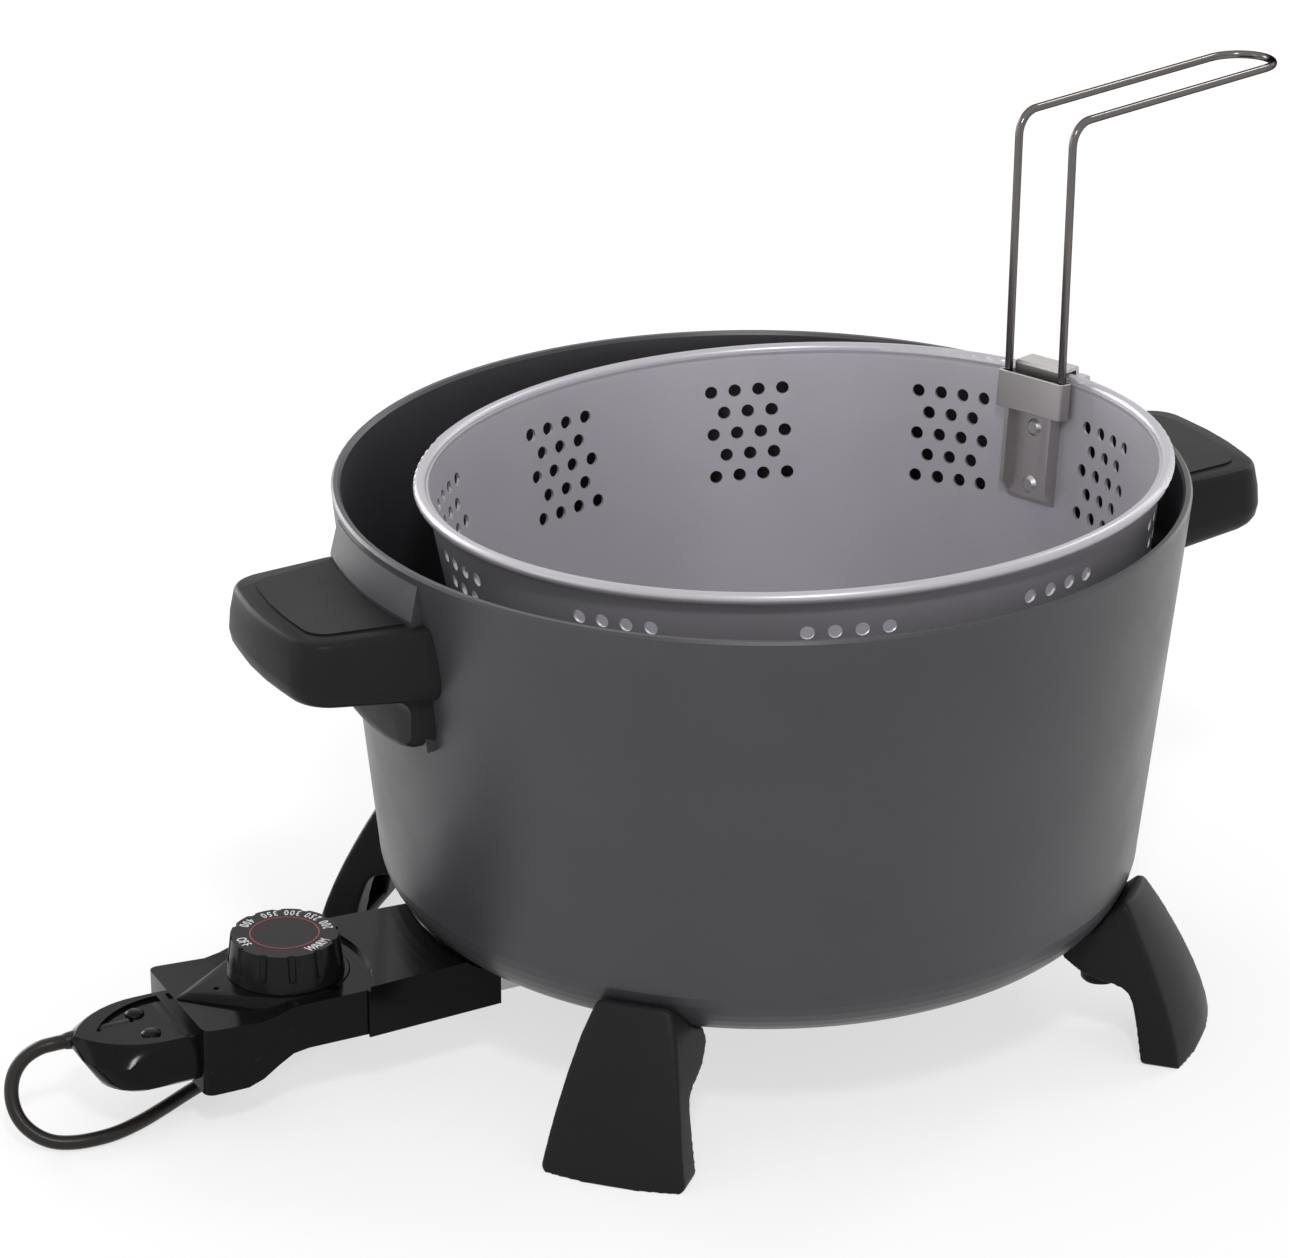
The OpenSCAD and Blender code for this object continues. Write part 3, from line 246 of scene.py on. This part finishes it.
def put(tree, group_tree, **values):
    n = tree.nodes.new("ShaderNodeGroup")
    n.node_tree = group_tree
    for label, value in values.items():
        if hasattr(value, "is_output"):
            link(tree, value, n.inputs[label])
        else:
            n.inputs[label].default_value = value
    return n.outputs


def rgb(r, g, b):
    return (r, g, b, 1.0)


# ---- Materials ----
DUST_TONE = rgb(0.35, 0.34, 0.33)
CLOUD_SCALE = 14.0          # slow changes of colour
ROUGH_SCALE = CLOUD_SCALE * 2.3
CLOUD_MOST = 0.75
CLOUD_SHARE, MARK_SHARE = 0.7, 0.3
BUMP_DEPTH = 0.0001


def finish(name, color, shade, rough, metallic=0.0, specular=0.5, edge_tint=1.0,
           grain=900.0, bump=0.15, wear_and_sheen=0.0, worn_and_sheen=None, dust=0.0, brushed=None, rim_highlight=None):
    """A material from the shared effects: colour and roughness that vary slowly, grain, worn edges with a
    painted sheen, a painted highlight on the basket's rim, dust.
    """
    m = bpy.data.materials.new(name)
    m.use_nodes = True
    m.diffuse_color = color
    t = m.node_tree
    p = t.nodes["Principled BSDF"]
    p.inputs["Metallic"].default_value = metallic
    p.inputs["Specular IOR Level"].default_value = specular
    p.inputs["Specular Tint"].default_value = rgb(edge_tint, edge_tint, edge_tint)
    if brushed:
        g = put(t, BRUSHED, Stretch=brushed, Height=1.0)
    else:
        g = put(t, GRAIN, Scale=grain, Height=1.0)
    slow = put(t, CLOUDY, Scale=CLOUD_SCALE, Low=0.0, High=CLOUD_MOST)["Value"]
    mixed = weighted(t, slow, CLOUD_SHARE, g["Mask"], MARK_SHARE)
    col = put(t, TINT, Mask=mixed, Color=color, Marked=shade)["Color"]
    # worn edges, partly a painted highlight: sharp edges turn lighter
    if wear_and_sheen:
        mask = put(t, EDGE_WEAR_AND_SHEEN, Start=WEAR_AND_SHEEN_START, Amount=wear_and_sheen)["Mask"]
        col = put(t, TINT, Mask=mask, Color=col, Marked=worn_and_sheen)["Color"]
    # painted highlight: the basket's rolled rim gets a lighter colour for the shine it catches
    if rim_highlight:
        mask = put(t, RIM_HIGHLIGHT)["Mask"]
        col = put(t, TINT, Mask=mask, Color=col, Marked=rim_highlight)["Color"]
    if dust:
        mask = put(t, DUST, Amount=dust)["Mask"]
        col = put(t, TINT, Mask=mask, Color=col, Marked=DUST_TONE)["Color"]
    link(t, col, p.inputs["Base Color"])
    link(t, put(t, CLOUDY, Scale=ROUGH_SCALE, Low=rough[0], High=rough[1])["Value"], p.inputs["Roughness"])
    b = t.nodes.new("ShaderNodeBump")
    b.inputs["Strength"].default_value = bump
    b.inputs["Distance"].default_value = BUMP_DEPTH
    link(t, g["Height"], b.inputs["Height"])
    link(t, b.outputs["Normal"], p.inputs["Normal"])
    return m


# the worn colour is partly a painted highlight along the pot's edges
pot_coating = finish("pot_coating", rgb(0.034, 0.034, 0.038), rgb(0.046, 0.045, 0.051), (0.34, 0.42),
                     metallic=0.1, grain=1500, bump=0.22, wear_and_sheen=0.2, worn_and_sheen=rgb(0.12, 0.12, 0.13))
moulded_black = finish("moulded_black", rgb(0.012, 0.012, 0.0125), rgb(0.016, 0.016, 0.017), (0.36, 0.42),
                       specular=0.08, grain=2200, bump=0.1, dust=0.02)
gloss_black = finish("gloss_black", rgb(0.003, 0.003, 0.003), rgb(0.005, 0.005, 0.005), (0.11, 0.15),
                     specular=0.10, grain=500, bump=0.01, dust=0.02)
knob_black = finish("knob_black", rgb(0.006, 0.006, 0.0065), rgb(0.010, 0.010, 0.011), (0.14, 0.20),
                    specular=0.12, grain=900, bump=0.04, dust=0.02)
# the rim colour is a painted highlight on the basket's rolled rim
basket_coating = finish("basket_coating", rgb(0.42, 0.405, 0.44), rgb(0.48, 0.46, 0.50), (0.34, 0.42),
                        metallic=0.5, grain=1800, bump=0.2, rim_highlight=rgb(0.46, 0.44, 0.475))
brushed_steel = finish("brushed_steel", rgb(0.46, 0.44, 0.43), rgb(0.54, 0.52, 0.51), (0.30, 0.36),
                       metallic=1.0, brushed=(50.0, 50.0, 1300.0), bump=0.03)
# painted reflection: the chrome's base colour is darkened to stand for the dark surroundings it reflects
chrome_wire = finish("chrome_wire", rgb(0.13, 0.122, 0.118), rgb(0.17, 0.16, 0.155), (0.15, 0.20),
                     metallic=1.0, edge_tint=0.12, grain=800, bump=0.02)
plain_steel = finish("plain_steel", rgb(0.42, 0.41, 0.40), rgb(0.50, 0.49, 0.48), (0.28, 0.40),
                     metallic=1.0, grain=900, bump=0.15)
brass_contact = finish("brass_contact", rgb(0.60, 0.43, 0.17), rgb(0.68, 0.50, 0.22), (0.22, 0.32),
                       metallic=1.0, grain=900, bump=0.1)
cord_jacket = finish("cord_jacket", rgb(0.011, 0.009, 0.008), rgb(0.018, 0.014, 0.013), (0.30, 0.38),
                     specular=0.25, grain=2600, bump=0.25, dust=0.04)
dial_white = finish("dial_white", rgb(0.72, 0.72, 0.72), rgb(0.80, 0.80, 0.80), (0.40, 0.50),
                    grain=2600, bump=0.05)
dial_red = finish("dial_red", rgb(0.30, 0.02, 0.02), rgb(0.38, 0.03, 0.03), (0.40, 0.50),
                  grain=2600, bump=0.05)


# ---- Piece helpers ----
SAME_POINT = 2e-6            # metres
FLAT_ANGLE = 0.6             # degrees
HARD_ANGLE = 32


def add(name, mesh, body, slot, *materials):
    piece = bpy.data.objects.new(name, mesh)
    bpy.context.scene.collection.objects.link(piece)
    for m in materials:
        mesh.materials.append(m)
    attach(piece, body)
    return piece


def mesh_from(bm, name):
    mesh = bpy.data.meshes.new(name)
    bm.to_mesh(mesh)
    bm.free()
    return mesh


def bare_copy(node):
    """The mesh of a CAD node without its materials and stored normals."""
    mesh = NODES[node].data.copy()
    mesh.materials.clear()
    if "custom_normal" in mesh.attributes:
        mesh.attributes.remove(mesh.attributes["custom_normal"])
    return mesh


def rounded(node, radius, slot, *materials, segments=2):
    """A finished copy of a CAD node, on the same shape, with its hard edges rounded."""
    mesh = bare_copy(node)
    bm = bmesh.new()
    bm.from_mesh(mesh)
    bmesh.ops.remove_doubles(bm, verts=bm.verts, dist=SAME_POINT)
    bmesh.ops.dissolve_limit(bm, angle_limit=math.radians(FLAT_ANGLE), verts=bm.verts, edges=bm.edges)
    bm.to_mesh(mesh)
    bm.free()
    piece = add(node + "_finish", mesh, NODES[node]["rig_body"], slot, *materials)
    bevel = piece.modifiers.new("edges", "BEVEL")
    bevel.width = radius * MM
    bevel.segments = segments
    bevel.limit_method = "ANGLE"
    bevel.angle_limit = math.radians(HARD_ANGLE)
    bevel.use_clamp_overlap = True
    bevel.harden_normals = True
    for f in mesh.polygons:
        f.use_smooth = True
    mesh.set_sharp_from_angle(angle=math.radians(HARD_ANGLE))
    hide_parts(node)
    return piece


def softened(node, voxel, passes, slot, *materials):
    """A finished copy of a CAD node, on the same shape, with all its edges rounded like a moulding's."""
    piece = add(node + "_finish", bare_copy(node), NODES[node]["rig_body"], slot, *materials)
    skin = piece.modifiers.new("skin", "REMESH")
    skin.mode = "VOXEL"
    skin.voxel_size = voxel * MM
    skin.use_smooth_shade = True
    relax = piece.modifiers.new("relax", "SMOOTH")
    relax.factor = 0.5
    relax.iterations = passes
    thin = piece.modifiers.new("thin", "DECIMATE")
    thin.ratio = 0.35
    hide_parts(node)
    return piece


def dress(material, *nodes):
    """Gives CAD nodes that stay as they are their material."""
    for n in nodes:
        o = NODES[n]
        if not o.material_slots:
            o.data.materials.append(None)
        for s in o.material_slots:
            s.material = material


# ---- Cord: one smooth line from the strain relief to the coil and the plug ----
CORD_D = 4.4
CORD_R = CORD_D / 2
LOW = CORD_R + 0.1           # the height of the cord's middle where it lies on the floor
ROUTE = [
    (-232.5, 4, 28.2), (-236, 4, 28.2), (-240, 4.8, 27.4), (-244.5, 5.3, 25), (-248, 4.7, 21.4),
    (-250, 3, 17), (-250.5, 0.3, 12.4), (-249.3, -3, 8.3), (-246.2, -6.3, 5), (-242, -9, 3),
    (-236.5, -11, LOW), (-230, -12, LOW), (-222.5, -11.3, LOW), (-213.5, -8, LOW), (-204, -3, LOW),
    (-194.5, 2.5, LOW), (-185, 7.5, LOW), (-175, 12, LOW), (-165, 15.5, LOW), (-155, 18.5, LOW),
    (-145.5, 22.3, LOW)]
COIL_AT = (-140, 54)
COIL_R = 26.2                # the outer turn, to the cord's middle
COIL_FROM = -63              # degrees, where the cord comes to the coil
COIL_TURNED = 1080           # degrees
COIL_STEP = 15
GO_IN, GO_UP, GO_OUT = 290, 590, 890    # degrees, where the cord changes from turn to turn
GO_OVER = 70                 # degrees that each change takes
PLUG_LEAD = 5.0


def ease(x):
    x = min(1.0, max(0.0, x))
    return x * x * (3 - 2 * x)


def coil_point(turned):
    """A point of the coil after so many degrees: outer turn, inner turn, inner turn above, outer turn above."""
    radius = COIL_R - CORD_D * ease((turned - GO_IN) / GO_OVER) + CORD_D * ease((turned - GO_OUT) / GO_OVER)
    height = LOW + CORD_D * ease((turned - GO_UP) / GO_OVER)
    a = math.radians(COIL_FROM + turned)
    return (COIL_AT[0] + radius * math.cos(a), COIL_AT[1] + radius * math.sin(a), height)


def cord_points():
    points = list(ROUTE)
    points += [coil_point(d) for d in range(0, COIL_TURNED + 1, COIL_STEP)]
    a = math.radians(COIL_FROM + 90)
    points += [tuple(Vector(points[-1]) + Vector((math.cos(a), math.sin(a), 0)) * PLUG_LEAD)]
    return points


def through(points, steps=4):
    """Points of a smooth line through the given points."""
    p = [Vector(q) for q in points]
    p = [2 * p[0] - p[1]] + p + [2 * p[-1] - p[-2]]
    line = []
    for a, b, c, d in zip(p, p[1:], p[2:], p[3:]):
        for s in range(steps):
            t = s / steps
            line.append(0.5 * ((2 * b) + (c - a) * t + (2 * a - 5 * b + 4 * c - d) * t * t
                               + (3 * b - a - 3 * c + d) * t ** 3))
    line.append(p[-2])
    return line


def wire_curve(name, points, radius, material, body):
    data = bpy.data.curves.new(name, "CURVE")
    data.dimensions = "3D"
    data.bevel_depth = radius * MM
    data.bevel_resolution = 4
    data.use_fill_caps = True
    spline = data.splines.new("POLY")
    spline.points.add(len(points) - 1)
    for s, p in zip(spline.points, points):
        s.co = (p[0] * MM, p[1] * MM, p[2] * MM, 1)
    spline.use_smooth = True
    piece = bpy.data.objects.new(name, data)
    bpy.context.scene.collection.objects.link(piece)
    data.materials.append(material)
    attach(piece, body)
    return piece


line = through(cord_points())
lead = wire_curve("power_cord", line, CORD_R, cord_jacket, "control_body")
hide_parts("cord", "cord_coil")

dress(cord_jacket, "coil_tie")
relief = rounded("strain_relief", 0.3, "cord_jacket", cord_jacket)
plug = rounded("plug_body", 0.9, "cord_jacket", cord_jacket, segments=3)
dress(brass_contact, "plug_blades", "female_terminals")


# ---- Pot, element and terminals ----
dress(pot_coating, "pot", "probe_socket")
dress(plain_steel, "heating_element", "terminal_guard", "terminal_pins", "foot_screws", "handle_screws",
      "thermostat_frame", "probe", "housing_screws", "knob_shaft", "bracket_rivets")
for n in ("foot_1", "foot_2", "foot_3", "foot_4"):
    softened(n, 0.7, 10, "moulding", moulded_black)
for n in ("handle_left", "handle_right"):
    rounded(n, 1.1, "moulding", moulded_black, segments=3)


# ---- Basket ----
dress(basket_coating, "basket")
rounded("basket_bracket", 0.25, "steel", brushed_steel)
rounded("handle_socket", 0.25, "steel", brushed_steel)
dress(chrome_wire, "wire_handle")


# ---- Heat control ----
rounded("control_upper", 0.4, "gloss_housing", gloss_black)
rounded("control_lower", 0.4, "gloss_housing", gloss_black)
rounded("probe_shroud", 0.4, "gloss_housing", gloss_black)
rounded("cord_cover", 0.5, "gloss_housing", gloss_black)
rounded("cover_rivets", 0.2, "gloss_housing", gloss_black)
rounded("knob", 0.35, "gloss_housing", knob_black)


# ---- Dial marks on the knob ----
KNOB_AT = Vector((-162, 0, 50.6))      # the middle of the knob's top face
MARKS = [("OFF", 182), ("400", 125), ("350", 87.5), ("300", 57), ("250", 27.5), ("200", -3), ("WARM", -63)]
MARK_R = 13.6                # the circle that the marks stand on
MARK_SIZE = 4.4
MARK_H = 0.12                # how far they stand up
MARK_BOLD = 0.03
MARK_NARROW = 0.66
ADVANCE = {"W": 11.0, "M": 10.5}       # degrees that wide letters take
ADVANCE_MOST = 8.0           # degrees that all others take
RING_IN, RING_OUT = 10.3, 10.7
RING_SINK, RING_RISE = 0.05, 0.1
RING_STEPS = 96


def dial_marks():
    whole = bmesh.new()
    for word, angle in MARKS:
        widths = [ADVANCE.get(c, ADVANCE_MOST) for c in word]
        at = angle - sum(widths) / 2
        for c, w in zip(word, widths):
            text = bpy.data.curves.new("mark", "FONT")
            text.body = c
            text.size = MARK_SIZE * MM
            text.align_x = "CENTER"
            text.align_y = "CENTER"
            text.extrude = MARK_H / 2 * MM
            text.offset = MARK_BOLD * MM
            o = bpy.data.objects.new("mark", text)
            mesh = bpy.data.meshes.new_from_object(o)
            a = math.radians(at + w / 2)
            turn = Matrix.Rotation(a + math.pi / 2, 4, "Z")
            spot = (KNOB_AT + Vector((MARK_R * math.cos(a), MARK_R * math.sin(a), MARK_H / 2))) * MM
            mesh.transform(Matrix.Translation(spot) @ turn @ Matrix.Diagonal((MARK_NARROW, 1, 1, 1)))
            whole.from_mesh(mesh)
            bpy.data.objects.remove(o)
            at += w
    bmesh.ops.remove_doubles(whole, verts=whole.verts, dist=1e-7)
    return mesh_from(whole, "dial_marks")


def flat_ring(name, centre, inner, outer, low, high):
    bm = bmesh.new()
    turns = [2 * math.pi * k / RING_STEPS for k in range(RING_STEPS)]
    loops = []
    for r, z in ((inner, low), (inner, high), (outer, high), (outer, low)):
        ring = [((centre.x + r * math.cos(a)) * MM, (centre.y + r * math.sin(a)) * MM, z * MM) for a in turns]
        loops.append([bm.verts.new(point) for point in ring])
    for a, b in zip(loops, loops[1:] + loops[:1]):
        for k in range(RING_STEPS):
            after = (k + 1) % RING_STEPS
            bm.faces.new((a[k], a[after], b[after], b[k]))
    bmesh.ops.recalc_face_normals(bm, faces=bm.faces)
    return mesh_from(bm, name)


add("dial_marks", dial_marks(), "knob_body", "gloss_housing", dial_white)
ring_mesh = flat_ring("dial_ring", KNOB_AT, RING_IN, RING_OUT, KNOB_AT.z - RING_SINK, KNOB_AT.z + RING_RISE)
add("dial_ring", ring_mesh, "knob_body", "gloss_housing", dial_red)


# ---- Floor and light ----
FLOOR_HALF = 12
FLOOR_TONE = 0.86
FLOOR_GLOW = 1.07
GLOW_SHARE = 0.6             # how much of the seen floor is glow; the rest takes the shadow
FILL = 0.75                  # the world's strength for light that falls on matt faces
WHITE = rgb(1, 1, 1)
# Area lights: name, place, the point it faces, size and power
LIGHTS = [
    ("key", (-0.55, -1.25, 1.6), (0, 0, 0.1), (0.24, 0.24), 12),
    ("high_right", (1.25, 0.36, 1.3), (0.1, 0, 0.2), (0.3, 0.3), 3.5),
    ("side_left", (-1.5, 0.3, 0.5), (0, 0, 0.1), (0.5, 1.0), 2),
    ("rim_left", (-0.5, 1.4, 0.45), (0, 0, 0.1), (0.6, 0.9), 11),
    ("rim_right", (1.45, 0.45, 0.45), (0, 0, 0.1), (0.5, 0.8), 2.5)]


def seen_directly(t):
    """1 for rays from the camera and for those that metal, gloss or glass send on, else 0."""
    path = t.nodes.new("ShaderNodeLightPath").outputs
    seen = maths(t, "MAXIMUM", path["Is Camera Ray"], path["Is Glossy Ray"])
    return maths(t, "MAXIMUM", seen, path["Is Transmission Ray"])


def floor():
    bm = bmesh.new()
    bmesh.ops.create_grid(bm, x_segments=1, y_segments=1, size=FLOOR_HALF)
    mesh = mesh_from(bm, "floor")
    o = bpy.data.objects.new("floor", mesh)
    bpy.context.scene.collection.objects.link(o)
    m = bpy.data.materials.new("pale_floor")
    m.use_nodes = True
    t = m.node_tree
    t.nodes.remove(t.nodes["Principled BSDF"])
    diffuse = t.nodes.new("ShaderNodeBsdfDiffuse")
    diffuse.inputs["Color"].default_value = rgb(FLOOR_TONE, FLOOR_TONE, FLOOR_TONE)
    glow = t.nodes.new("ShaderNodeEmission")
    glow.inputs["Color"].default_value = WHITE
    glow.inputs["Strength"].default_value = FLOOR_GLOW
    mix = t.nodes.new("ShaderNodeMixShader")
    link(t, maths(t, "MULTIPLY", seen_directly(t), GLOW_SHARE), mix.inputs[0])
    link(t, diffuse.outputs[0], mix.inputs[1])
    link(t, glow.outputs[0], mix.inputs[2])
    link(t, mix.outputs[0], t.nodes["Material Output"].inputs["Surface"])
    mesh.materials.append(m)


def world():
    w = bpy.data.worlds.new("studio")
    bpy.context.scene.world = w
    w.use_nodes = True
    t = w.node_tree
    back = t.nodes["Background"]
    link(t, spread(t, seen_directly(t), 0.0, 1.0, FILL, 1.0), back.inputs["Strength"])
    back.inputs["Color"].default_value = WHITE


def soft_box(name, at, to, size, power):
    data = bpy.data.lights.new(name, "AREA")
    data.shape = "RECTANGLE"
    data.size, data.size_y = size
    data.energy = power
    o = bpy.data.objects.new(name, data)
    aim(o, at, to)
    bpy.context.scene.collection.objects.link(o)


floor()
world()
for light in LIGHTS:
    soft_box(*light)
